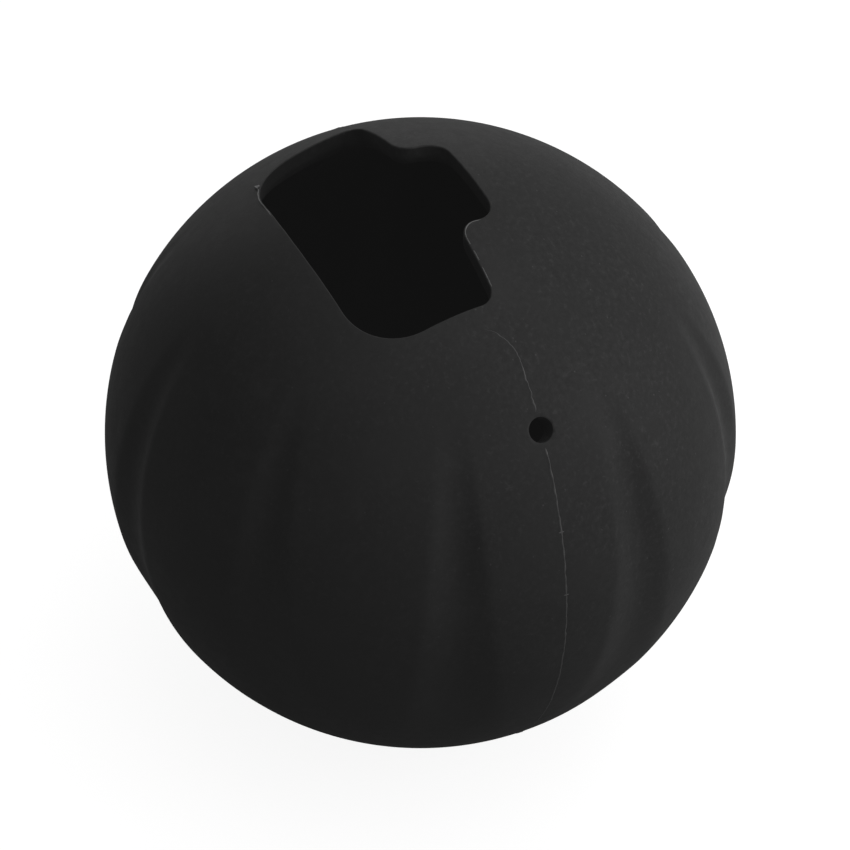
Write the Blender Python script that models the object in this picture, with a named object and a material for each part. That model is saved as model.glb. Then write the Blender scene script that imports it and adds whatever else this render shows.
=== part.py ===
"""Friction ball for opening watch cases: a hollow, fluted rubber ball.

Two moulded half shells are bonded along an upright seam plane. The slotted
half carries the long pocket opening, the notched half the short tab notch
beside it, and a small vent hole is drilled through the seam. The bond is two
strips of rubber cement: one between the opening and the vent, and one from
the vent round the underside to the opening's far end.

Frame: metres, +Z up, origin at the centre of the flat foot. The seam lies in
the XZ plane, the vent is on the +X side, and the slotted half on the -Y side.
"""

import math

import bmesh
import bpy
from mathutils import Matrix, Vector

MM = 0.001

# Driving dimensions
BALL_RADIUS = 35.0 * MM
WALL = 2.5 * MM
FOOT_RADIUS = 9.0 * MM

FLUTES = 10
FLUTE_DEPTH = 0.8 * MM
FLUTE_HALF_WIDTH = 0.118 * BALL_RADIUS  # at the ball's equator
FLUTE_WIDENING = 0.1 * BALL_RADIUS  # per radian towards the foot
FLUTE_TURN = math.radians(1.5)  # how far the flutes sit off even spacing from the seam
FLUTE_CRISPNESS = 1.3  # power of the cosine profile: 2 is soft, 1 meets the lobes at a corner
FLUTE_TOP = (math.radians(44), math.radians(12))  # latitudes: none, full depth
FLUTE_BOTTOM = (math.radians(-42), math.radians(-12))

SLOT_VENT_END = 17.0 * MM  # from the ball's axis to the slot's end on the vent's side
SLOT_FAR_END = 16.9 * MM
SLOT_FAR_TAPER = 2.7 * MM  # how much shorter the far end is at its outer corner
SLOT_WIDTH = 14.3 * MM  # from the seam plane to the corners
SLOT_BOW = 1.3 * MM  # how far the long side bulges past its corners
SLOT_OUTER_CORNERS = (6.6 * MM, 7.4 * MM)  # fillets at the vent's end and the far end
SLOT_SEAM_CORNER = 1.6 * MM
BOW_RADIUS = 90.0 * MM
TAB_LENGTH = 13.8 * MM
TAB_CENTRE = 0.8 * MM  # from the ball's axis towards the vent's side
TAB_DEPTH = 4.8 * MM
TAB_CORNER = 2.3 * MM
TAB_ROOT_FILLET = 2.1 * MM

VENT_RADIUS = 1.35 * MM
VENT_LATITUDE = math.radians(37.3)
SPRUE_RADIUS = 3.0 * MM
SPRUE_DEPTH = 0.5 * MM

CLEARANCE = 0.3 * MM  # between the cement and everything beside it
CEMENT_THICKNESS = 0.4 * MM
CEMENT_PROUD_OUTSIDE = 0.12 * MM
CEMENT_PROUD_INSIDE = 0.6 * MM

# Mesh fineness
RINGS_OUTSIDE = 26
RINGS_INSIDE = 20
STEPS_PER_HALF_FLUTE = 5
STEP_CROWDING = 1.4  # above 1 crowds the steps into the flute's middle
ARC_STEP = math.radians(15)
VENT_SIDES = 24
CEMENT_STEP = math.radians(5)
SHARP_ANGLE = math.radians(40)  # edges that bend more than this stay sharp
SPLIT_TOLERANCE = 0.1e-6

# Colours (linear) and roughness
RUBBER = ((0.018, 0.018, 0.018), 0.62)
CEMENT = ((0.06, 0.06, 0.06), 0.5)

# Worked out from the above
INNER_RADIUS = BALL_RADIUS - WALL
CENTRE_Z = math.sqrt(BALL_RADIUS**2 - FOOT_RADIUS**2)
BALL_CENTRE = Vector((0, 0, CENTRE_Z))
FLUTE_PITCH = math.tau / FLUTES
RIM_OFFSET = CEMENT_THICKNESS / 2 + CLEARANCE  # each half's rim from the seam plane


def clear_scene():
    for obj in list(bpy.data.objects):
        bpy.data.objects.remove(obj, do_unlink=True)


def material(name, colour, roughness):
    made = bpy.data.materials.new(name)
    made.use_nodes = True
    shader = made.node_tree.nodes["Principled BSDF"]
    shader.inputs["Base Color"].default_value = (*colour, 1)
    shader.inputs["Roughness"].default_value = roughness
    shader.inputs["Metallic"].default_value = 0
    return made


def object_from(bm, name, finish=None):
    """A named object of this bmesh, which is then freed."""
    bmesh.ops.recalc_face_normals(bm, faces=bm.faces)
    mesh = bpy.data.meshes.new(name)
    bm.to_mesh(mesh)
    bm.free()
    if finish:
        mesh.materials.append(finish)
        mesh.shade_smooth()
        mesh.set_sharp_from_angle(angle=SHARP_ANGLE)
    obj = bpy.data.objects.new(name, mesh)
    bpy.context.scene.collection.objects.link(obj)
    return obj


def cutter_from(bm, name):
    obj = object_from(bm, name)
    obj.hide_render = True
    obj.display_type = "WIRE"
    return obj


def cut(obj, cutter):
    boolean = obj.modifiers.new(cutter.name, "BOOLEAN")
    boolean.operation = "DIFFERENCE"
    boolean.object = cutter


def smooth_step(low, high, value):
    share = min(1, max(0, (value - low) / (high - low)))
    return share * share * (3 - 2 * share)


def flute_depth(azimuth, latitude):
    """How far a flute is pressed in here. The seam runs along the middle of a lobe."""
    off_centre = (azimuth + FLUTE_TURN) % FLUTE_PITCH - FLUTE_PITCH / 2
    half_width = FLUTE_HALF_WIDTH - FLUTE_WIDENING * latitude
    across = BALL_RADIUS * math.cos(latitude) * off_centre / half_width
    if abs(across) >= 1:
        return 0
    along = smooth_step(*FLUTE_TOP, latitude) * smooth_step(*FLUTE_BOTTOM, latitude)
    return FLUTE_DEPTH * along * math.cos(math.pi / 2 * across) ** FLUTE_CRISPNESS


def azimuths():
    """Round the ball once, with the steps crowded where the flutes bend."""
    steps = range(-STEPS_PER_HALF_FLUTE, STEPS_PER_HALF_FLUTE)
    shares = [
        math.copysign(abs(i / STEPS_PER_HALF_FLUTE) ** STEP_CROWDING, i) for i in steps
    ]
    return [
        (flute + 0.5 + share / 2) * FLUTE_PITCH - FLUTE_TURN
        for flute in range(FLUTES)
        for share in shares
    ]


def add_ball_surface(bm, radius, floor_z, rings):
    """A fluted sphere about the ball's centre, cut off flat at floor_z."""
    turns = azimuths()
    lowest = math.asin((floor_z - CENTRE_Z) / radius)
    ring_verts = []
    for i in range(rings):
        latitude = lowest + (math.pi / 2 - lowest) * i / rings
        ring = []
        for azimuth in turns:
            reach = radius - flute_depth(azimuth, latitude)
            outward = Vector(
                (
                    math.cos(latitude) * math.cos(azimuth),
                    math.cos(latitude) * math.sin(azimuth),
                    math.sin(latitude),
                )
            )
            ring.append(bm.verts.new(BALL_CENTRE + outward * reach))
        ring_verts.append(ring)
    bottom = bm.verts.new((0, 0, floor_z))
    top = bm.verts.new((0, 0, CENTRE_Z + radius))
    count = len(turns)
    for i in range(count):
        j = (i + 1) % count
        bm.faces.new((bottom, ring_verts[0][j], ring_verts[0][i]))
        bm.faces.new((top, ring_verts[-1][i], ring_verts[-1][j]))
        for low, high in zip(ring_verts, ring_verts[1:]):
            bm.faces.new((low[i], low[j], high[j], high[i]))


def half_shell_mesh(side):
    """Half of the hollow ball, on the +Y side or the -Y side of the seam plane."""
    bm = bmesh.new()
    add_ball_surface(bm, BALL_RADIUS, 0, RINGS_OUTSIDE)
    add_ball_surface(bm, INNER_RADIUS, WALL, RINGS_INSIDE)
    bmesh.ops.bisect_plane(
        bm,
        geom=bm.verts[:] + bm.edges[:] + bm.faces[:],
        dist=SPLIT_TOLERANCE,
        plane_co=(0, side * RIM_OFFSET, 0),
        plane_no=(0, side, 0),
        clear_inner=True,
    )
    rims = [edge for edge in bm.edges if edge.is_boundary]
    bmesh.ops.triangle_fill(bm, use_beauty=True, edges=rims, normal=(0, side, 0))
    return bm


def rounded_outline(corners):
    """Points round a polygon whose corners are (x, y, fillet radius)."""
    points = []
    for i, (x, y, radius) in enumerate(corners):
        here = Vector((x, y))
        before = (Vector(corners[i - 1][:2]) - here).normalized()
        after = (Vector(corners[(i + 1) % len(corners)][:2]) - here).normalized()
        half_angle = before.angle(after) / 2
        centre = here + (before + after).normalized() * radius / math.sin(half_angle)
        start = here + before * radius / math.tan(half_angle) - centre
        turn = start.angle_signed(
            here + after * radius / math.tan(half_angle) - centre
        )
        steps = max(2, math.ceil(abs(turn) / ARC_STEP))
        for step in range(steps + 1):
            points.append(
                centre + Matrix.Rotation(-turn * step / steps, 2) @ start
            )
    return points


def opening_outline():
    """The opening from above: the long slot at -Y, the tab notch at +Y."""
    vent_fillet, far_fillet = SLOT_OUTER_CORNERS
    tab_near = TAB_CENTRE + TAB_LENGTH / 2
    tab_far = TAB_CENTRE - TAB_LENGTH / 2
    return rounded_outline(
        [
            (-SLOT_FAR_END, 0, SLOT_SEAM_CORNER),
            (-SLOT_FAR_END + SLOT_FAR_TAPER, -SLOT_WIDTH, far_fillet),
            (0, -SLOT_WIDTH - SLOT_BOW, BOW_RADIUS),
            (SLOT_VENT_END, -SLOT_WIDTH, vent_fillet),
            (SLOT_VENT_END, 0, SLOT_SEAM_CORNER),
            (tab_near, 0, TAB_ROOT_FILLET),
            (tab_near, TAB_DEPTH, TAB_CORNER),
            (tab_far, TAB_DEPTH, TAB_CORNER),
            (tab_far, 0, TAB_ROOT_FILLET),
        ]
    )


def extruded(points, along):
    """A prism from a flat outline of 3-D points."""
    bm = bmesh.new()
    face = bm.faces.new([bm.verts.new(point) for point in points])
    grown = bmesh.ops.extrude_face_region(bm, geom=[face])
    moved = [item for item in grown["geom"] if isinstance(item, bmesh.types.BMVert)]
    bmesh.ops.translate(bm, verts=moved, vec=along)
    return bm


def opening_cutter():
    top_of_ball = CENTRE_Z + BALL_RADIUS
    outline = [(point.x, point.y, CENTRE_Z) for point in opening_outline()]
    height = top_of_ball - CENTRE_Z + WALL
    return cutter_from(extruded(outline, Vector((0, 0, height))), "opening_cutter")


def vent_direction():
    return Vector((math.cos(VENT_LATITUDE), 0, math.sin(VENT_LATITUDE)))


def cylinder_cutter(name, radius, length, centre, axis):
    bm = bmesh.new()
    bmesh.ops.create_cone(
        bm,
        cap_ends=True,
        segments=VENT_SIDES,
        radius1=radius,
        radius2=radius,
        depth=length,
        matrix=Matrix.Translation(centre) @ axis.to_track_quat("Z", "Y").to_matrix().to_4x4(),
    )
    return cutter_from(bm, name)


def vent_cutter():
    middle_of_wall = BALL_CENTRE + vent_direction() * (BALL_RADIUS - WALL / 2)
    return cylinder_cutter(
        "vent_cutter", VENT_RADIUS, 4 * WALL, middle_of_wall, vent_direction()
    )


def sprue_cutter():
    return cylinder_cutter(
        "sprue_cutter", SPRUE_RADIUS, 2 * SPRUE_DEPTH, Vector((0, 0, 0)), Vector((0, 0, 1))
    )


def half_shell(name, side, finish, cutters):
    obj = object_from(half_shell_mesh(side), name, finish)
    for cutter in cutters:
        cut(obj, cutter)
    return obj


def seam_point(latitude, radius, lowest_z):
    """A point in the seam plane. Latitudes run on from 90 degrees over the -X side."""
    x = radius * math.cos(latitude)
    z = CENTRE_Z + radius * math.sin(latitude)
    return Vector((x, -CEMENT_THICKNESS / 2, max(z, lowest_z)))


def cement_strip(name, start, end, finish):
    """Rubber cement in the seam between two latitudes, standing proud inside and out."""
    steps = math.ceil((end - start) / CEMENT_STEP)
    latitudes = [start + (end - start) * i / steps for i in range(steps + 1)]
    outer = BALL_RADIUS + CEMENT_PROUD_OUTSIDE
    inner = INNER_RADIUS - CEMENT_PROUD_INSIDE
    above_foot = SPRUE_DEPTH + CLEARANCE
    above_floor = WALL + CEMENT_PROUD_INSIDE
    outline = [seam_point(latitude, outer, above_foot) for latitude in latitudes]
    outline += [seam_point(latitude, inner, above_floor) for latitude in reversed(latitudes)]
    return object_from(extruded(outline, Vector((0, CEMENT_THICKNESS, 0))), name, finish)


def latitude_beside(distance):
    """The latitude of the cement's inner edge where it is this far from the ball's axis."""
    return math.acos((distance + CLEARANCE) / (INNER_RADIUS - CEMENT_PROUD_INSIDE))


def cement_strips(finish):
    vent_gap = math.asin((VENT_RADIUS + CLEARANCE) / INNER_RADIUS)
    cement_strip(
        "seam_cement_vent_to_opening",
        VENT_LATITUDE + vent_gap,
        latitude_beside(SLOT_VENT_END),
        finish,
    )
    cement_strip(
        "seam_cement_round_underside",
        -math.pi - latitude_beside(SLOT_FAR_END),
        VENT_LATITUDE - vent_gap,
        finish,
    )


def main():
    clear_scene()
    rubber = material("black_rubber", *RUBBER)
    cement = material("rubber_cement", *CEMENT)
    cutters = [opening_cutter(), vent_cutter(), sprue_cutter()]
    half_shell("slotted_half_shell", -1, rubber, cutters)
    half_shell("notched_half_shell", 1, rubber, cutters)
    cement_strips(cement)


main()
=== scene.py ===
import math

import bmesh
import bpy
import numpy as np
from mathutils import Matrix, Vector, noise


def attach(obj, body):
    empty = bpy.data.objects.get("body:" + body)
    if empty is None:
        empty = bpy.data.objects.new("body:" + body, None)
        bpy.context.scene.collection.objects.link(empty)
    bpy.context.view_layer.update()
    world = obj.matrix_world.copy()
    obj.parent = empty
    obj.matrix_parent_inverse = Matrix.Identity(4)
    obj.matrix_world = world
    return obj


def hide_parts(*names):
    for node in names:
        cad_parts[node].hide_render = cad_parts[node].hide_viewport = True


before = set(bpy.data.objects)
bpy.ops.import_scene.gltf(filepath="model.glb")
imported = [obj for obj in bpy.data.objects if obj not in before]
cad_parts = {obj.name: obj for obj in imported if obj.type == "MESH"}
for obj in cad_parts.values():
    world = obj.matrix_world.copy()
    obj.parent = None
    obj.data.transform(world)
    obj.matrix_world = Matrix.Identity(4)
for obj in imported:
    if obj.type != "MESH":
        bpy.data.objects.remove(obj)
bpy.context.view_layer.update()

MM = 0.001

# The object's dimensions, the same as the CAD source's
BALL_RADIUS = 35.0 * MM
WALL = 2.5 * MM
FOOT_RADIUS = 9.0 * MM
INNER_RADIUS = BALL_RADIUS - WALL
CENTRE_Z = math.sqrt(BALL_RADIUS**2 - FOOT_RADIUS**2)
BALL_CENTRE = Vector((0, 0, CENTRE_Z))

FLUTES = 10
FLUTE_PITCH = math.tau / FLUTES
FLUTE_DEPTH = 0.8 * MM
FLUTE_HALF_WIDTH = 0.118 * BALL_RADIUS
FLUTE_WIDENING = 0.1 * BALL_RADIUS
FLUTE_TURN = math.radians(1.5)
FLUTE_CRISPNESS = 1.3
FLUTE_TOP = (math.radians(44), math.radians(12))
FLUTE_BOTTOM = (math.radians(-42), math.radians(-12))

SLOT_VENT_END = 17.0 * MM
SLOT_FAR_END = 16.9 * MM
SLOT_FAR_TAPER = 2.7 * MM
SLOT_WIDTH = 14.3 * MM
SLOT_BOW = 1.3 * MM
SLOT_OUTER_CORNERS = (6.6 * MM, 7.4 * MM)
SLOT_SEAM_CORNER = 1.6 * MM
BOW_RADIUS = 90.0 * MM
TAB_LENGTH = 13.8 * MM
TAB_CENTRE = 0.8 * MM
TAB_DEPTH = 4.8 * MM
TAB_CORNER = 2.3 * MM
TAB_ROOT_FILLET = 2.1 * MM

VENT_RADIUS = 1.35 * MM
VENT_LATITUDE = math.radians(37.3)
SPRUE_RADIUS = 3.0 * MM
SPRUE_DEPTH = 0.5 * MM

# Edges that the CAD leaves square
OUTER_LIP = 0.2 * MM
INNER_LIP = 1.3 * MM
FOOT_EDGE = 0.8 * MM
SPRUE_ROUND = 0.15 * MM
VENT_MOUTH = 0.06 * MM
LIP_BAND = 1.6 * MM  # how far the mesh follows the opening's outline

# The raised line of cement on the seam
BEAD_HALF_WIDTH = 0.155 * MM
BEAD_HEIGHT = 0.07 * MM
BEAD_SINK = 0.08 * MM
BEAD_STEP = math.radians(0.25)
BEAD_LEAST = 0.2  # the lowest it gets, as a share of its height
BEAD_USUAL = 0.55
BEAD_GAIN_AT_VENT = 0.95
BEAD_GAIN_SPREAD = math.radians(6)
BEAD_LOSS_AT_BEND = 0.5
BEAD_LOSS_START = VENT_LATITUDE + math.radians(7)
BEAD_FADE_STEPS = 8
BEAD_END_DIP = 0.25
BEAD_LOWEST = SPRUE_DEPTH + 3 * BEAD_SINK  # it never reaches the plane of the foot
BEAD_FLAT_BELOW = SPRUE_DEPTH + 4 * BEAD_SINK
BEAD_WANDER = (0.06 * MM, 0.17 * MM)  # off the seam plane: below the vent, above the vent
BEAD_VENT_GAP = 0.4 * MM
BEAD_SLOT_GAP = 0.5 * MM
BEND_LATITUDE = math.radians(50)  # above it the bead leaves the seam plane
BEND_REACH = 3.5 * MM  # how far it has gone by the top of the bead
BEND_TOP = math.radians(57.8)
BEND_POWER = 2.35

# Waves along the bead: share, waves per radian, seed
SEED_SPREAD = 0.37
HEIGHT_WAVES = ((0.5, 14, 2), (0.4, 60, 5))
WANDER_WAVES = ((1, 38, 7), (0.5, 90, 6))
WIDTH_WAVES = ((0.35, 40, 3),)

# Short ridges where cement ran across the seam
TICK_LATITUDES = (math.radians(6.5), math.radians(18.9))
TICK_REACH = 0.34 * MM
TICK_SHARES = (-1, -0.7, -0.3, 0, 0.3, 0.7, 1)
TICK_FALL = 1.2
TICK_HALF_WIDTH = 0.7 * BEAD_HALF_WIDTH
RIDGE_SHARES = (-1, -0.6, 0, 0.6, 1)

# Slivers of torn rubber on the opening's rim, and beside the notch pale lines that paint the rim's
# edge highlight
FLASH_AND_HIGHLIGHT_RUNS = (  # from x, to x, on the slot's outer side, height
    (-12.6 * MM, -5.2 * MM, True, 0.16 * MM),
    (7.6 * MM, 10.6 * MM, False, 0.05 * MM),
    (11.2 * MM, 12.6 * MM, False, 0.12 * MM),
    (13.1 * MM, 15.6 * MM, False, 0.05 * MM),
)
FLASH_HALF_WIDTH = 0.1 * MM
FLASH_USUAL = 0.7
FLASH_WAVES = ((0.6, 17, 4),)
FLASH_START = 0.08  # share of a run that its first end is cut short by
FLASH_BLUNTNESS = 0.5
SPIKE_AT = 0.05  # share of the long run
SPIKE_SPREAD = 0.04
SPIKE_REACH = 0.35 * MM
SPIKE_RISE = 0.3 * MM

# Mesh fineness
COLUMNS_PER_FLUTE = 40
COLUMN_CROWDING = 1.25
OUTLINE_ARC_STEP = math.radians(3)
CROWN_LATITUDE = math.radians(47)  # above it the columns turn towards the opening
CROWN_ROWS = 22
OUTER_ROWS = 110
INNER_ROWS = 60
LIP_ROWS = 8
BAND_ROWS = 4
WALL_ROWS = 6
ROUND_ROWS = 3
FOOT_ROWS = 7
FOOT_EDGE_ROWS = 6
SPRUE_RINGS = (0.25, 0.6, 0.9)
FLOOR_RINGS = (0.85, 0.6, 0.3)
VENT_SIDES = 48
FLASH_OUTLINE_POINTS = 900
SHARP_ANGLE = math.radians(50)
SAME_POINT = 1e-6 * MM
CUTTER_WELD = 1e-4 * MM
WELD = 2e-3 * MM

# Finishes, as linear greys
RUBBER_DARK = 0.0095
RUBBER_LIGHT = 0.0125
RUBBER_SCUFF = 0.0155
DUST_TONE = 0.06
DUST_HEIGHTS = (15, 50)  # millimetres above the foot: little dust below, most above
HANDLED_SIDE = (-18, 8)  # millimetres across the seam: the notched half has more dust
HAIR_TONE = 0.022
SPECKLE_LIGHT = 0.0162
SPECKLE_DARK = 0.008
INSIDE_TONE = 0.03
INSIDE_FROM = (32.75, 32.45)  # millimetres from the ball's centre
CEMENT_TONE = 0.046
# The torn rubber's pale tone also paints the highlight along the rim's edge beside the notch
TORN_AND_HIGHLIGHT_TONE = 0.115
TORN_DARK_SHARE = 0.45

RUBBER_ROUGHNESS = (0.5, 0.62)
GRAIN_ROUGHNESS = 0.03
DUST_ROUGHNESS = 0.2
RUBBER_SPECULAR = 0.15
RUBBER_SHEEN = 0.012
SHEEN_ROUGHNESS = 0.35
CEMENT_ROUGHNESS = 0.5
TORN_ROUGHNESS = 0.6
TORN_ROUGHNESS_CHANGE = 0.08
TORN_SPECULAR = 0.35

# Noises: features per millimetre, detail, roughness
CLOUD_NOISE = (0.09, 3)
PATCH_NOISE = (0.11, 3)
MOTTLE_NOISE = (0.55, 5, 0.65)
HAIR_NOISE = (1.0, 1)
HAIR_GAPS_NOISE = (1.7, 1)
PEEL_NOISE = (1.1, 2)
SPECKLE_NOISE = (1.7, 3, 0.7)
GRAIN_NOISE = (4.5, 3, 0.6)
TORN_PATCH_NOISE = (0.8, 3, 0.6)
TORN_GRAIN_NOISE = (6, 3)

# The parts of those noises' range that matter
CLOUD_RANGE = (0.3, 0.7)
PATCH_RANGE = (0.3, 0.55)
SCUFF_RANGE = (0.5, 0.9)
ROUGH_RANGE = (0.25, 0.75)
TALC_RANGE = (0.3, 0.75)
SPECKLE_RANGE = (0.35, 0.7)
GRAIN_RANGE = (0.3, 0.7)
HAIR_LINE = (0.03, 0.008)  # how near the middle of its noise a hairline mark starts and is full
HAIR_GAPS_RANGE = (0.54, 0.63)
TORN_TONE_RANGE = (0.35, 0.7)
TORN_ROUGH_RANGE = (0.3, 0.7)

# Dust specks: cells per millimetre, least and most size in cells, share of cells with a speck
FINE_DUST = (1.1, 0.05, 0.16, 0.3)
COARSE_DUST = (0.35, 0.02, 0.07, 0.25)
SPECK_EDGE = (1.0, 0.4)

# How much the dust and the marks cover, and the least that is left of them and of the powder
DUST_COVER = 0.7
HAIR_COVER = 0.8
SETTLED_LEAST = 0.3
HANDLED_LEAST = 0.35
PATCH_LEAST = 0.25
TALC_LEAST = 0.75

# Bumps: depth, strength
PEEL_BUMP = (0.02 * MM, 0.6)
GRAIN_BUMP = (0.006 * MM, 0.7)
DUST_BUMP = (0.03 * MM, 0.8)
TORN_BUMP = (0.02 * MM, 0.8)

# Floor and light, in metres and watts
FLOOR_HALF_SIDE = 3
FLOOR_SEGMENTS = 8
FLOOR_GLOW = 0.9
FLOOR_DARK = 0.18
FLOOR_PALE = 0.6
FLOOR_CARD = (0.02, 0.09)  # how far to the right of the ball the floor turns paler
FLOOR_RAGGED = 0.01
FLOOR_RAGGED_SCALE = 3
FLOOR_ROUGHNESS = 0.9
FLOOR_SPECULAR = 0.1
SWEEP_TONE = 1.05
ROOM_DARK = 0.04
ROOM_BRIGHT = 1.0
ROOM_SPREAD = (-0.6, 1)
BRIGHT_SIDE = (0.85, 0.25, 0.4)  # to the camera's right, up, and back to the camera
LIGHT_DISTANCE = 0.8
LIGHTS = (  # name, direction as above, diameter, power
    ("key", (0.9, 0.1, 0.4), 0.7, 1.05),
    ("top", (0.15, 0.75, 0.5), 0.8, 1.35),
    ("behind", (-0.35, 0.8, -0.6), 0.9, 1.3),
    ("low", (1, 0, 0.03), 0.12, 0.3),
)
VEIL = 0.005  # light that the white surroundings scatter over the whole picture

# Camera
CAMERA_AZIMUTH = math.radians(63.3)
CAMERA_ELEVATION = math.radians(39.5)
CAMERA_ROLL = math.radians(0.96)
CAMERA_DISTANCE = 13.3 * BALL_RADIUS
CAMERA_LENS = 177.3
CAMERA_SENSOR = 36
CAMERA_CLIP = (0.01, 20)
AIM_RIGHT = 0.0143 * BALL_RADIUS
AIM_UP = 0.0244 * BALL_RADIUS


# ---------------------------------------------------------------- helpers

def smooth_step(low, high, value):
    share = np.clip((value - low) / (high - low), 0, 1)
    return share * share * (3 - 2 * share)


def quarter_turn(steps):
    return np.linspace(0, math.pi / 2, steps + 1)


def wavering(position, waves):
    """The sum of smooth noises along a line, each from about -1 to 1 times its share."""
    return sum(
        share * noise.noise(Vector((position * scale, seed, SEED_SPREAD * seed)))
        for share, scale, seed in waves
    )


def link(obj):
    bpy.context.scene.collection.objects.link(obj)
    return obj


def object_from(bm, name, finish=None):
    bmesh.ops.recalc_face_normals(bm, faces=bm.faces)
    mesh = bpy.data.meshes.new(name)
    bm.to_mesh(mesh)
    bm.free()
    if finish:
        mesh.materials.append(finish)
    mesh.shade_smooth()
    mesh.set_sharp_from_angle(angle=SHARP_ANGLE)
    return link(bpy.data.objects.new(name, mesh))


# ---------------------------------------------------------------- opening outline

def rounded_outline(corners):
    """Points round a polygon whose corners are (x, y, fillet radius), as an array."""
    points = []
    for i, (x, y, radius) in enumerate(corners):
        here = Vector((x, y))
        before = (Vector(corners[i - 1][:2]) - here).normalized()
        after = (Vector(corners[(i + 1) % len(corners)][:2]) - here).normalized()
        half_angle = before.angle(after) / 2
        centre = here + (before + after).normalized() * radius / math.sin(half_angle)
        start = here + before * radius / math.tan(half_angle) - centre
        turn = start.angle_signed(here + after * radius / math.tan(half_angle) - centre)
        steps = max(2, math.ceil(abs(turn) / OUTLINE_ARC_STEP))
        for step in range(steps + 1):
            points.append(centre + Matrix.Rotation(-turn * step / steps, 2) @ start)
    return np.array(points)


def opening_outline():
    """Anticlockwise from above, starting on the slot's outer side at the -X end."""
    vent_fillet, far_fillet = SLOT_OUTER_CORNERS
    tab_near = TAB_CENTRE + TAB_LENGTH / 2
    tab_far = TAB_CENTRE - TAB_LENGTH / 2
    return rounded_outline(
        [
            (-SLOT_FAR_END, 0, SLOT_SEAM_CORNER),
            (-SLOT_FAR_END + SLOT_FAR_TAPER, -SLOT_WIDTH, far_fillet),
            (0, -SLOT_WIDTH - SLOT_BOW, BOW_RADIUS),
            (SLOT_VENT_END, -SLOT_WIDTH, vent_fillet),
            (SLOT_VENT_END, 0, SLOT_SEAM_CORNER),
            (tab_near, 0, TAB_ROOT_FILLET),
            (tab_near, TAB_DEPTH, TAB_CORNER),
            (tab_far, TAB_DEPTH, TAB_CORNER),
            (tab_far, 0, TAB_ROOT_FILLET),
        ]
    )


def resampled(path, count):
    """The path's points at equal steps of length, both ends included."""
    steps = np.linalg.norm(np.diff(path, axis=0), axis=1)
    lengths = np.concatenate([[0], np.cumsum(steps)])
    wanted = np.linspace(0, lengths[-1], count + 1)
    return np.stack([np.interp(wanted, lengths, path[:, i]) for i in range(2)], axis=1)


def into_rubber(points):
    """Unit plan vectors at right angles to a closed outline, pointing away from the opening."""
    tangent = np.roll(points, -1, axis=0) - np.roll(points, 1, axis=0)
    tangent /= np.linalg.norm(tangent, axis=1)[:, None]
    return np.stack([tangent[:, 1], -tangent[:, 0]], axis=1)


def outline_columns(per_half):
    """Where each column meets the opening, and the way into the rubber there, both in plan."""
    outline = opening_outline()
    steps = np.linalg.norm(outline - np.roll(outline, 1, axis=0), axis=1)
    outline = outline[steps > SAME_POINT]
    band = outline + into_rubber(outline) * LIP_BAND
    off_seam = np.abs(band[:, 1])
    corner_reach = SLOT_FAR_END - 2 * SLOT_SEAM_CORNER
    near = int(np.argmin(off_seam + (outline[:, 0] < corner_reach)))
    far = int(np.argmin(off_seam + (outline[:, 0] > -corner_reach)))
    turned = np.roll(outline, -near, axis=0)
    cut = (far - near) % len(outline)
    notched = turned[: cut + 1]
    slotted = np.vstack([turned[cut:], turned[:1]])
    points = np.vstack([resampled(notched, per_half)[:-1], resampled(slotted, per_half)[:-1]])
    return points, into_rubber(points)


# ---------------------------------------------------------------- shell surfaces

def flute_depth(azimuth, latitude):
    off_centre = (azimuth + FLUTE_TURN) % FLUTE_PITCH - FLUTE_PITCH / 2
    half_width = FLUTE_HALF_WIDTH - FLUTE_WIDENING * latitude
    across = np.clip(BALL_RADIUS * np.cos(latitude) * off_centre / half_width, -1, 1)
    along = smooth_step(*FLUTE_TOP, latitude) * smooth_step(*FLUTE_BOTTOM, latitude)
    return FLUTE_DEPTH * along * np.clip(np.cos(math.pi / 2 * across), 0, 1) ** FLUTE_CRISPNESS


def on_ball(radius, azimuth, latitude):
    """Points of the fluted ball of this radius, with z from the foot plane."""
    reach = radius - flute_depth(azimuth, latitude)
    return np.stack(
        [
            reach * np.cos(latitude) * np.cos(azimuth),
            reach * np.cos(latitude) * np.sin(azimuth),
            CENTRE_Z + reach * np.sin(latitude) + 0 * azimuth,
        ],
        axis=-1,
    )


def lifted(plan, radius, drop=0):
    """Plan points raised to the top of the ball of this radius, less a drop."""
    z = CENTRE_Z + np.sqrt(radius**2 - (plan**2).sum(-1)) - drop
    return np.concatenate([plan, z[:, None]], axis=1)


def column_azimuths():
    half = COLUMNS_PER_FLUTE // 2
    shares = [math.copysign(abs(i / half) ** COLUMN_CROWDING, i) for i in range(-half, half)]
    return np.array(
        [(flute + 0.5 + share / 2) * FLUTE_PITCH for flute in range(FLUTES) for share in shares]
    )


def crown_rows(radius, lip, azimuths, points, inward):
    """Rows from the crown circle up to the lip's start, following the outline near it."""
    circle = radius * math.cos(CROWN_LATITUDE)
    circle = circle * np.stack([np.cos(azimuths), np.sin(azimuths)], axis=1)
    band = points + inward * LIP_BAND
    rows = [
        lifted(circle + (band - circle) * share, radius)
        for share in np.linspace(0, 1, CROWN_ROWS + 1)[1:]
    ]
    rows += [
        lifted(points + inward * offset, radius)
        for offset in np.linspace(LIP_BAND, lip, BAND_ROWS + 1)[1:]
    ]
    return rows


def lip_rows(radius, lip, points, inward, side):
    """The rounded edge from the ball's surface to the cut wall; side is 1 outside, -1 inside."""
    rows = []
    for angle in quarter_turn(LIP_ROWS)[1:]:
        offset = lip * (1 - math.sin(angle))
        drop = lip * (1 - math.cos(angle))
        rows.append(lifted(points + inward * offset, radius, side * drop))
    return rows


def flat_ring(azimuths, radius, z):
    ring = radius * np.stack([np.cos(azimuths), np.sin(azimuths)], axis=1)
    return np.concatenate([ring, np.full((len(ring), 1), z)], axis=1)


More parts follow.
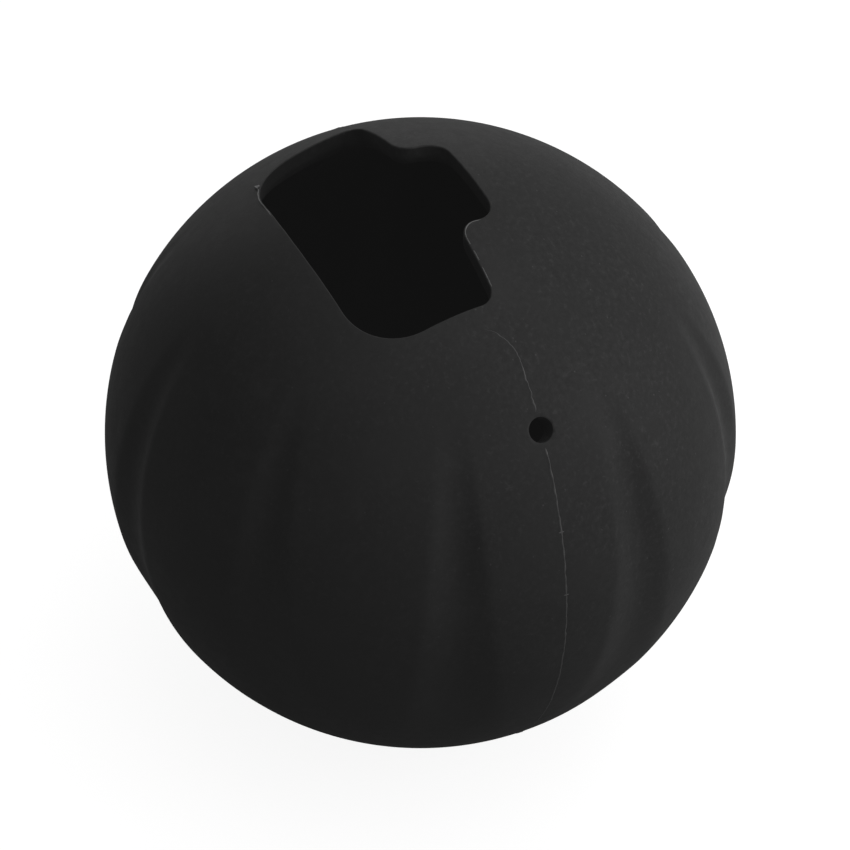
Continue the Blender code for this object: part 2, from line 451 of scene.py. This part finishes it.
def latitude_rows(radius, azimuths, start, end, count):
    return [
        on_ball(radius, azimuths, np.full_like(azimuths, latitude))
        for latitude in np.linspace(start, end, count + 1)
    ]


def foot_rows(azimuths, lowest):
    """The underside, from the middle of the sprue recess to the ball's lowest latitude."""
    rows = [flat_ring(azimuths, SPRUE_RADIUS * share, SPRUE_DEPTH) for share in SPRUE_RINGS]
    for angle in quarter_turn(ROUND_ROWS):
        radius = SPRUE_RADIUS - SPRUE_ROUND * (1 - math.sin(angle))
        rows.append(flat_ring(azimuths, radius, SPRUE_DEPTH - SPRUE_ROUND * (1 - math.cos(angle))))
    for angle in quarter_turn(ROUND_ROWS):
        radius = SPRUE_RADIUS + SPRUE_ROUND * (1 - math.cos(angle))
        rows.append(flat_ring(azimuths, radius, SPRUE_ROUND * (1 - math.sin(angle))))
    flat_from, flat_to = SPRUE_RADIUS + SPRUE_ROUND, FOOT_RADIUS - FOOT_EDGE
    for radius in np.linspace(flat_from, flat_to, FOOT_ROWS + 1)[1:]:
        rows.append(flat_ring(azimuths, radius, 0))
    start = rows[-1]
    corner = flat_ring(azimuths, FOOT_RADIUS, 0)
    end = on_ball(BALL_RADIUS, azimuths, np.full_like(azimuths, lowest))
    for t in np.linspace(0, 1, FOOT_EDGE_ROWS + 1)[1:-1]:
        rows.append(start * (1 - t) ** 2 + corner * 2 * t * (1 - t) + end * t**2)
    return rows


def ball_rows():
    """Every row of the hollow ball, from the middle of the sprue to the middle of the floor."""
    azimuths = column_azimuths()
    points, inward = outline_columns(len(azimuths) // 2)
    lowest = -math.acos((FOOT_RADIUS + FOOT_EDGE) / BALL_RADIUS)
    rows = foot_rows(azimuths, lowest)
    rows += latitude_rows(BALL_RADIUS, azimuths, lowest, CROWN_LATITUDE, OUTER_ROWS)
    rows += crown_rows(BALL_RADIUS, OUTER_LIP, azimuths, points, inward)
    rows += lip_rows(BALL_RADIUS, OUTER_LIP, points, inward, 1)
    top = lifted(points, BALL_RADIUS, OUTER_LIP)
    inner_lip = lip_rows(INNER_RADIUS, INNER_LIP, points, inward, -1)[::-1]
    for t in np.linspace(0, 1, WALL_ROWS + 1)[1:-1]:
        rows.append(top * (1 - t) + inner_lip[0] * t)
    rows += inner_lip
    rows += crown_rows(INNER_RADIUS, INNER_LIP, azimuths, points, inward)[::-1]
    floor_latitude = math.asin((WALL - CENTRE_Z) / INNER_RADIUS)
    rows += latitude_rows(INNER_RADIUS, azimuths, CROWN_LATITUDE, floor_latitude, INNER_ROWS)
    floor_radius = INNER_RADIUS * math.cos(floor_latitude)
    return rows + [flat_ring(azimuths, floor_radius * share, WALL) for share in FLOOR_RINGS]


def half_shell_bmesh(rows, first, count):
    """The half of the ball that has these columns, closed along the seam."""
    total = len(rows[0])
    picked = [(first + i) % total for i in range(count + 1)]
    bm = bmesh.new()
    grid = [[bm.verts.new(row[j]) for j in picked] for row in rows]
    bottom = bm.verts.new((0, 0, SPRUE_DEPTH))
    floor = bm.verts.new((0, 0, WALL))
    for i in range(count):
        bm.faces.new((bottom, grid[0][i + 1], grid[0][i]))
        bm.faces.new((floor, grid[-1][i], grid[-1][i + 1]))
        for low, high in zip(grid, grid[1:]):
            bm.faces.new((low[i], low[i + 1], high[i + 1], high[i]))
    seam = [edge for edge in bm.edges if edge.is_boundary]
    bmesh.ops.triangle_fill(bm, use_beauty=True, edges=seam, normal=(0, 1, 0))
    return bm


def vent_cutter():
    """A round cutter along the vent, flared at the ball's surface so that the mouth is rounded."""
    profile = [(0, INNER_RADIUS - WALL), (VENT_RADIUS, INNER_RADIUS - WALL)]
    for angle in quarter_turn(ROUND_ROWS):
        radius = VENT_RADIUS + VENT_MOUTH * (1 - math.cos(angle))
        profile.append((radius, BALL_RADIUS - VENT_MOUTH * (1 - math.sin(angle))))
    profile += [(VENT_RADIUS + VENT_MOUTH, BALL_RADIUS + WALL), (0, BALL_RADIUS + WALL)]
    bm = bmesh.new()
    verts = [bm.verts.new((x, 0, z)) for x, z in profile]
    edges = [bm.edges.new(pair) for pair in zip(verts, verts[1:])]
    bmesh.ops.spin(
        bm,
        geom=verts + edges,
        cent=(0, 0, 0),
        axis=(0, 0, 1),
        angle=math.tau,
        steps=VENT_SIDES,
        use_merge=True,
    )
    bmesh.ops.remove_doubles(bm, verts=bm.verts, dist=CUTTER_WELD)
    along = Vector((math.cos(VENT_LATITUDE), 0, math.sin(VENT_LATITUDE)))
    turn = along.to_track_quat("Z", "Y").to_matrix().to_4x4()
    bmesh.ops.transform(bm, matrix=Matrix.Translation(BALL_CENTRE) @ turn, verts=bm.verts)
    return object_from(bm, "vent_cutter")


def apply_cut(obj, cutter):
    """Cuts the object, and welds the slivers that the cut leaves."""
    boolean = obj.modifiers.new("vent", "BOOLEAN")
    boolean.operation = "DIFFERENCE"
    boolean.solver = "EXACT"
    boolean.object = cutter
    bpy.context.view_layer.update()
    evaluated = obj.evaluated_get(bpy.context.evaluated_depsgraph_get())
    mesh = bpy.data.meshes.new_from_object(evaluated)
    obj.modifiers.clear()
    obj.data = mesh
    bm = bmesh.new()
    bm.from_mesh(mesh)
    bmesh.ops.remove_doubles(bm, verts=bm.verts, dist=WELD)
    bmesh.ops.dissolve_degenerate(bm, dist=WELD, edges=bm.edges)
    bm.to_mesh(mesh)
    bm.free()
    mesh.shade_smooth()
    mesh.set_sharp_from_angle(angle=SHARP_ANGLE)


# ---------------------------------------------------------------- cement bead, flash and painted edge highlight

def bead_lean(latitude):
    """How far the bead leaves the seam plane as it nears the slot's end."""
    share = max(0, (latitude - BEND_LATITUDE) / (BEND_TOP - BEND_LATITUDE))
    return -BEND_REACH * min(share, 1) ** BEND_POWER


def bead_strength(latitude):
    """How proud the bead stands: most beside the vent, and least where it bends to the slot."""
    from_vent = (latitude - VENT_LATITUDE) / BEAD_GAIN_SPREAD
    strength = BEAD_USUAL + BEAD_GAIN_AT_VENT * math.exp(-(from_vent**2))
    strength += wavering(latitude, HEIGHT_WAVES)
    strength -= BEAD_LOSS_AT_BEND * smooth_step(BEAD_LOSS_START, BEND_LATITUDE, latitude)
    return max(strength, BEAD_LEAST)


def add_tube(bm, rings):
    """A closed body from rings of points, each with the same count."""
    made = [[bm.verts.new(point) for point in ring] for ring in rings]
    for low, high in zip(made, made[1:]):
        for i in range(len(low)):
            j = (i + 1) % len(low)
            bm.faces.new((low[i], low[j], high[j], high[i]))
    bm.faces.new(made[0])
    bm.faces.new(made[-1][::-1])


def ridge_ring(point, outward, across, half_width, height):
    """A small humped cross-section that stands on a surface and is rooted in it."""
    ring = []
    for share in RIDGE_SHARES:
        rise = height * (1 - share * share) - BEAD_SINK * share * share
        ring.append(point + across * half_width * share + outward * rise)
    ring.append(point - outward * (BEAD_SINK + abs(height)))
    return ring


def bead_rings(start, end, radius, side):
    """Rings of the bead on the outer surface (side 1) or the inner surface (side -1)."""
    rings = []
    steps = math.ceil((end - start) / BEAD_STEP)
    for i in range(steps + 1):
        latitude = start + (end - start) * i / steps
        wander = BEAD_WANDER[latitude > VENT_LATITUDE]
        lean = bead_lean(latitude) + wander * wavering(latitude, WANDER_WAVES)
        outward = Vector((math.cos(latitude), lean / radius, math.sin(latitude))).normalized()
        point = BALL_CENTRE + outward * radius
        point.z = max(point.z, BEAD_LOWEST)
        fade = min(1, (steps - i) / BEAD_FADE_STEPS, i / BEAD_FADE_STEPS)
        height = BEAD_HEIGHT * (bead_strength(latitude) * fade - BEAD_END_DIP * (1 - fade))
        if point.z < BEAD_FLAT_BELOW:
            height = 0
        half_width = BEAD_HALF_WIDTH * (1 + wavering(latitude, WIDTH_WAVES))
        across = Vector((0, 1, 0))
        rings.append(ridge_ring(point, outward * side, across, half_width, height))
    return rings


def add_tick(bm, latitude):
    """A short ridge across the bead."""
    outward = Vector((math.cos(latitude), 0, math.sin(latitude)))
    along = Vector((-math.sin(latitude), 0, math.cos(latitude)))
    rings = []
    for share in TICK_SHARES:
        point = BALL_CENTRE + outward * BALL_RADIUS + Vector((0, share * TICK_REACH, 0))
        height = BEAD_HEIGHT * (1 - TICK_FALL * share * share)
        rings.append(ridge_ring(point, outward, along, TICK_HALF_WIDTH, height))
    add_tube(bm, rings)


def make_bead(name, start, end, finish, node):
    bm = bmesh.new()
    add_tube(bm, bead_rings(start, end, BALL_RADIUS, 1))
    for latitude in TICK_LATITUDES:
        if start < latitude < end:
            add_tick(bm, latitude)
    slot_end = math.acos((SLOT_VENT_END + LIP_BAND) / INNER_RADIUS)
    inner_start, inner_end = max(start, -math.pi - slot_end), min(end, slot_end)
    add_tube(bm, bead_rings(inner_start, inner_end, INNER_RADIUS, -1))
    obj = object_from(bm, name, finish)
    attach(obj, "root")
    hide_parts(node)


def make_beads(finish):
    gap = math.asin((VENT_RADIUS + BEAD_VENT_GAP) / BALL_RADIUS)
    far_end = math.acos((SLOT_FAR_END + BEAD_SLOT_GAP) / BALL_RADIUS)
    make_bead(
        "cement_bead_vent_to_opening",
        VENT_LATITUDE + gap,
        BEND_TOP,
        finish,
        "seam_cement_vent_to_opening",
    )
    make_bead(
        "cement_bead_round_underside",
        -math.pi - far_end,
        VENT_LATITUDE - gap,
        finish,
        "seam_cement_round_underside",
    )


def make_opening_flash_and_highlight(finish):
    """Slivers of torn rubber left on the opening's rim, and pale lines beside the notch that paint
    the rim's edge highlight.
    """
    outline = resampled(opening_outline(), FLASH_OUTLINE_POINTS)
    inward = into_rubber(outline)
    bm = bmesh.new()
    for low_x, high_x, outer_side, height in FLASH_AND_HIGHLIGHT_RUNS:
        picked = [
            i
            for i, (x, y) in enumerate(outline)
            if low_x < x < high_x and (y < -SLOT_WIDTH / 2) == outer_side
        ]
        rings = []
        for step, i in enumerate(picked):
            share = step / (len(picked) - 1)
            fade = math.sin(math.pi * min(1, FLASH_START + share)) ** FLASH_BLUNTNESS
            spike = math.exp(-(((share - SPIKE_AT) / SPIKE_SPREAD) ** 2)) if outer_side else 0
            plan = outline[i] + inward[i] * (OUTER_LIP + SPIKE_REACH * spike)
            point = Vector(lifted(plan[None], BALL_RADIUS)[0])
            outward = (point - BALL_CENTRE).normalized()
            across = Vector((inward[i][0], inward[i][1], 0))
            rise = height * fade * (FLASH_USUAL + wavering(share, FLASH_WAVES))
            rise += SPIKE_RISE * spike
            half_width = FLASH_HALF_WIDTH * (1 + spike)
            rings.append(ridge_ring(point, outward, across, half_width, rise))
        add_tube(bm, rings)
    obj = object_from(bm, "rim_flash_and_edge_highlight", finish)
    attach(obj, "root")


# ---------------------------------------------------------------- materials

class Shading:
    """Short calls for building a node tree."""

    def __init__(self, tree):
        self.tree = tree

    def node(self, kind, inputs=None, **settings):
        made = self.tree.nodes.new(kind)
        for key, value in settings.items():
            setattr(made, key, value)
        for key, value in (inputs or {}).items():
            if isinstance(value, bpy.types.NodeSocket):
                self.tree.links.new(value, made.inputs[key])
            else:
                made.inputs[key].default_value = value
        return made

    def maths(self, operation, first, second=0.0, clamp=False):
        inputs = {0: first, 1: second}
        return self.node("ShaderNodeMath", inputs, operation=operation, use_clamp=clamp).outputs[0]

    def product(self, *factors):
        result = factors[0]
        for factor in factors[1:]:
            result = self.maths("MULTIPLY", result, factor)
        return result

    def vector_maths(self, operation, first, second):
        inputs = {0: first, 1: second}
        return self.node("ShaderNodeVectorMath", inputs, operation=operation).outputs["Value"]

    def noise(self, where, scale, detail=2.0, roughness=0.5):
        inputs = {"Vector": where, "Scale": scale, "Detail": detail, "Roughness": roughness}
        return self.node("ShaderNodeTexNoise", inputs).outputs["Fac"]

    def ranged(self, value, low, high, to_low=0.0, to_high=1.0, smooth=False):
        inputs = {
            "Value": value,
            "From Min": low,
            "From Max": high,
            "To Min": to_low,
            "To Max": to_high,
        }
        kind = "SMOOTHSTEP" if smooth else "LINEAR"
        return self.node("ShaderNodeMapRange", inputs, interpolation_type=kind).outputs["Result"]

    def mixed(self, share, first, second):
        made = self.node("ShaderNodeMix", data_type="RGBA")
        for name, value in (("Factor", share), ("A", first), ("B", second)):
            socket = next(s for s in made.inputs if s.name == name and s.enabled)
            if isinstance(value, bpy.types.NodeSocket):
                self.tree.links.new(value, socket)
            else:
                socket.default_value = value
        return next(s for s in made.outputs if s.enabled)

    def bump(self, height, distance, strength, after=None):
        inputs = {"Height": height, "Distance": distance, "Strength": strength}
        if after:
            inputs["Normal"] = after
        return self.node("ShaderNodeBump", inputs).outputs["Normal"]

    def link(self, value, shader, socket):
        self.tree.links.new(value, shader.inputs[socket])


def grey(value):
    return (value, value, value, 1)


def new_material(name):
    made = bpy.data.materials.new(name)
    made.use_nodes = True
    return made, Shading(made.node_tree), made.node_tree.nodes["Principled BSDF"]


def millimetres(shading):
    """The object's own coordinates, which are the row frame's, in millimetres."""
    where = shading.node("ShaderNodeTexCoord").outputs["Object"]
    inputs = {0: where, "Scale": 1 / MM}
    return shading.node("ShaderNodeVectorMath", inputs, operation="SCALE").outputs["Vector"]


def dust_mask(shading, where, scale, least, most, crowding):
    """Scattered round specks, of a size that differs from speck to speck."""
    cells = shading.node("ShaderNodeTexVoronoi", {"Vector": where, "Scale": scale}, feature="F1")
    chance = shading.node("ShaderNodeSeparateColor", {0: cells.outputs["Color"]})
    size = shading.ranged(chance.outputs[0], 0, 1, least, most)
    shown = shading.maths("LESS_THAN", chance.outputs[1], crowding)
    speck = shading.maths("DIVIDE", cells.outputs["Distance"], size)
    speck = shading.ranged(speck, *SPECK_EDGE)
    return shading.product(speck, shown)


def hair_mask(shading, where):
    """Short curved hairline marks: pieces of a noise field's contour lines."""
    field = shading.noise(where, *HAIR_NOISE)
    off_line = shading.maths("ABSOLUTE", shading.maths("SUBTRACT", field, 0.5))
    line = shading.ranged(off_line, *HAIR_LINE)
    kept = shading.ranged(shading.noise(where, *HAIR_GAPS_NOISE), *HAIR_GAPS_RANGE)
    return shading.product(line, kept)


def handling_mask(shading, where):
    """Where dust and marks show: in patches, more of them on top and on the notched half."""
    place = shading.node("ShaderNodeSeparateXYZ", {0: where}).outputs
    settled = shading.ranged(place["Z"], *DUST_HEIGHTS, SETTLED_LEAST, smooth=True)
    handled = shading.ranged(place["Y"], *HANDLED_SIDE, HANDLED_LEAST, smooth=True)
    patches = shading.ranged(shading.noise(where, *PATCH_NOISE), *PATCH_RANGE, PATCH_LEAST)
    return shading.product(settled, handled, patches)


def rubber_material():
    made, shading, shader = new_material("moulded_black_rubber")
    where = millimetres(shading)
    cloud = shading.noise(where, *CLOUD_NOISE)
    mottle = shading.noise(where, *MOTTLE_NOISE)
    grain = shading.noise(where, *GRAIN_NOISE)
    shown = handling_mask(shading, where)
    fine = dust_mask(shading, where, *FINE_DUST)
    coarse = dust_mask(shading, where, *COARSE_DUST)
    dust = shading.product(shading.maths("MAXIMUM", fine, coarse), shown)
    speckle = shading.noise(where, *SPECKLE_NOISE)
    speckle = shading.product(shading.ranged(speckle, *SPECKLE_RANGE, -1, 1), shown)
    hair = shading.product(hair_mask(shading, where), shown)

    cloudy = shading.ranged(cloud, *CLOUD_RANGE)
    tone = shading.mixed(cloudy, grey(RUBBER_DARK), grey(RUBBER_LIGHT))
    tone = shading.mixed(shading.ranged(mottle, *SCUFF_RANGE), tone, grey(RUBBER_SCUFF))
    tone = shading.mixed(shading.ranged(speckle, 0, 1), tone, grey(SPECKLE_LIGHT))
    tone = shading.mixed(shading.ranged(speckle, 0, -1), tone, grey(SPECKLE_DARK))
    tone = shading.mixed(shading.product(dust, DUST_COVER), tone, grey(DUST_TONE))
    tone = shading.mixed(shading.product(hair, HAIR_COVER), tone, grey(HAIR_TONE))

    centre = tuple(value / MM for value in BALL_CENTRE)
    from_centre = shading.vector_maths("DISTANCE", where, centre)
    bare_inside = shading.ranged(from_centre, *INSIDE_FROM)
    talc = shading.ranged(mottle, *TALC_RANGE, TALC_LEAST)
    tone = shading.mixed(shading.product(bare_inside, talc), tone, grey(INSIDE_TONE))
    shading.link(tone, shader, "Base Color")

    rough = shading.ranged(mottle, *ROUGH_RANGE, *RUBBER_ROUGHNESS)
    grainy = shading.ranged(grain, *GRAIN_RANGE, -GRAIN_ROUGHNESS, GRAIN_ROUGHNESS)
    rough = shading.maths("ADD", rough, grainy)
    rough = shading.maths("ADD", rough, shading.product(dust, DUST_ROUGHNESS), clamp=True)
    shading.link(rough, shader, "Roughness")

    normal = shading.bump(shading.noise(where, *PEEL_NOISE), *PEEL_BUMP)
    normal = shading.bump(grain, *GRAIN_BUMP, normal)
    normal = shading.bump(dust, *DUST_BUMP, normal)
    shading.link(normal, shader, "Normal")
    shader.inputs["Specular IOR Level"].default_value = RUBBER_SPECULAR
    shader.inputs["Sheen Weight"].default_value = RUBBER_SHEEN
    shader.inputs["Sheen Roughness"].default_value = SHEEN_ROUGHNESS
    return made


def torn_material(name, tone, roughness):
    """Thin raised rubber that has turned paler than the moulded skin; on the rim beside the notch
    the pale tone is a painted edge highlight.
    """
    made, shading, shader = new_material(name)
    where = millimetres(shading)
    patch = shading.noise(where, *TORN_PATCH_NOISE)
    dark = grey(tone * TORN_DARK_SHARE)
    colour = shading.mixed(shading.ranged(patch, *TORN_TONE_RANGE), dark, grey(tone))
    shading.link(colour, shader, "Base Color")
    low, high = roughness - TORN_ROUGHNESS_CHANGE, roughness + TORN_ROUGHNESS_CHANGE
    shading.link(shading.ranged(patch, *TORN_ROUGH_RANGE, low, high), shader, "Roughness")
    normal = shading.bump(shading.noise(where, *TORN_GRAIN_NOISE), *TORN_BUMP)
    shading.link(normal, shader, "Normal")
    shader.inputs["Specular IOR Level"].default_value = TORN_SPECULAR
    return made


# ---------------------------------------------------------------- stage, light, camera

def camera_axes():
    azimuth, elevation = CAMERA_AZIMUTH, CAMERA_ELEVATION
    back = Vector(
        (
            math.sin(azimuth) * math.cos(elevation),
            -math.cos(azimuth) * math.cos(elevation),
            math.sin(elevation),
        )
    )
    right = Vector((math.cos(azimuth), math.sin(azimuth), 0))
    return right, back.cross(right), back


def camera_direction(right_share, up_share, back_share):
    right, up, back = camera_axes()
    return (right * right_share + up * up_share + back * back_share).normalized()


def make_camera():
    right, up, back = camera_axes()
    data = bpy.data.cameras.new("camera")
    data.lens = CAMERA_LENS
    data.sensor_width = CAMERA_SENSOR
    data.clip_start, data.clip_end = CAMERA_CLIP
    camera = link(bpy.data.objects.new("camera", data))
    aim = BALL_CENTRE + right * AIM_RIGHT + up * AIM_UP
    camera.location = aim + back * CAMERA_DISTANCE
    upright = Matrix((right, up, back)).transposed().to_quaternion()
    camera.rotation_mode = "QUATERNION"
    camera.rotation_quaternion = Matrix.Rotation(CAMERA_ROLL, 3, back).to_quaternion() @ upright
    bpy.context.scene.camera = camera


def make_floor():
    bm = bmesh.new()
    bmesh.ops.create_grid(
        bm, x_segments=FLOOR_SEGMENTS, y_segments=FLOOR_SEGMENTS, size=FLOOR_HALF_SIDE
    )
    finish, shading, shader = new_material("pale_floor")
    where = shading.node("ShaderNodeTexCoord").outputs["Object"]
    sideways = shading.vector_maths("DOT_PRODUCT", where, tuple(camera_axes()[0]))
    ragged = shading.product(shading.noise(where, FLOOR_RAGGED_SCALE), FLOOR_RAGGED)
    card = shading.ranged(shading.maths("ADD", sideways, ragged), *FLOOR_CARD, smooth=True)
    shading.link(shading.mixed(card, grey(FLOOR_DARK), grey(FLOOR_PALE)), shader, "Base Color")
    shader.inputs["Roughness"].default_value = FLOOR_ROUGHNESS
    shader.inputs["Specular IOR Level"].default_value = FLOOR_SPECULAR
    shader.inputs["Emission Color"].default_value = grey(1)
    seen = shading.node("ShaderNodeLightPath").outputs["Is Camera Ray"]
    shading.link(shading.product(seen, FLOOR_GLOW), shader, "Emission Strength")
    object_from(bm, "floor", finish)


def make_world():
    """A white sweep behind the object, and for its light a dim room with one bright side."""
    world = bpy.data.worlds.new("studio")
    bpy.context.scene.world = world
    world.use_nodes = True
    shading = Shading(world.node_tree)
    towards = shading.node("ShaderNodeTexCoord").outputs["Generated"]
    facing = shading.vector_maths("DOT_PRODUCT", towards, tuple(camera_direction(*BRIGHT_SIDE)))
    bright = shading.ranged(facing, *ROOM_SPREAD, smooth=True)
    room = shading.mixed(bright, grey(ROOM_DARK), grey(ROOM_BRIGHT))
    seen = shading.node("ShaderNodeLightPath").outputs["Is Camera Ray"]
    colour = shading.mixed(seen, room, grey(SWEEP_TONE))
    shading.link(colour, world.node_tree.nodes["Background"], "Color")


def set_view():
    """A plain view, with the veil of light that a white studio throws over dark things."""
    view = bpy.context.scene.view_settings
    view.view_transform = "Standard"
    view.use_curve_mapping = True
    view.curve_mapping.black_level = (-VEIL, -VEIL, -VEIL)
    view.curve_mapping.update()


def make_lights():
    for name, direction, diameter, power in LIGHTS:
        data = bpy.data.lights.new(name, "AREA")
        data.shape = "DISK"
        data.size = diameter
        data.energy = power
        towards = camera_direction(*direction)
        light = link(bpy.data.objects.new(name, data))
        light.location = BALL_CENTRE + towards * LIGHT_DISTANCE
        light.rotation_mode = "QUATERNION"
        light.rotation_quaternion = towards.to_track_quat("Z", "Y")


# ---------------------------------------------------------------- the object

def make_shells(finish):
    rows = ball_rows()
    half = len(rows[0]) // 2
    cutter = vent_cutter()
    for name, first, node in (
        ("shell_half_with_notch", 0, "notched_half_shell"),
        ("shell_half_with_slot", half, "slotted_half_shell"),
    ):
        obj = object_from(half_shell_bmesh(rows, first, half), name, finish)
        apply_cut(obj, cutter)
        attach(obj, "root")
        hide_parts(node)
    bpy.data.objects.remove(cutter, do_unlink=True)


set_view()
make_camera()
make_floor()
make_world()
make_lights()
make_shells(rubber_material())
make_beads(torn_material("rubber_cement", CEMENT_TONE, CEMENT_ROUGHNESS))
# Torn rubber on the slot's far side, and pale lines beside the notch that paint the rim's edge
# highlight
make_opening_flash_and_highlight(torn_material("torn_rubber_and_edge_highlight", TORN_AND_HIGHLIGHT_TONE, TORN_ROUGHNESS))
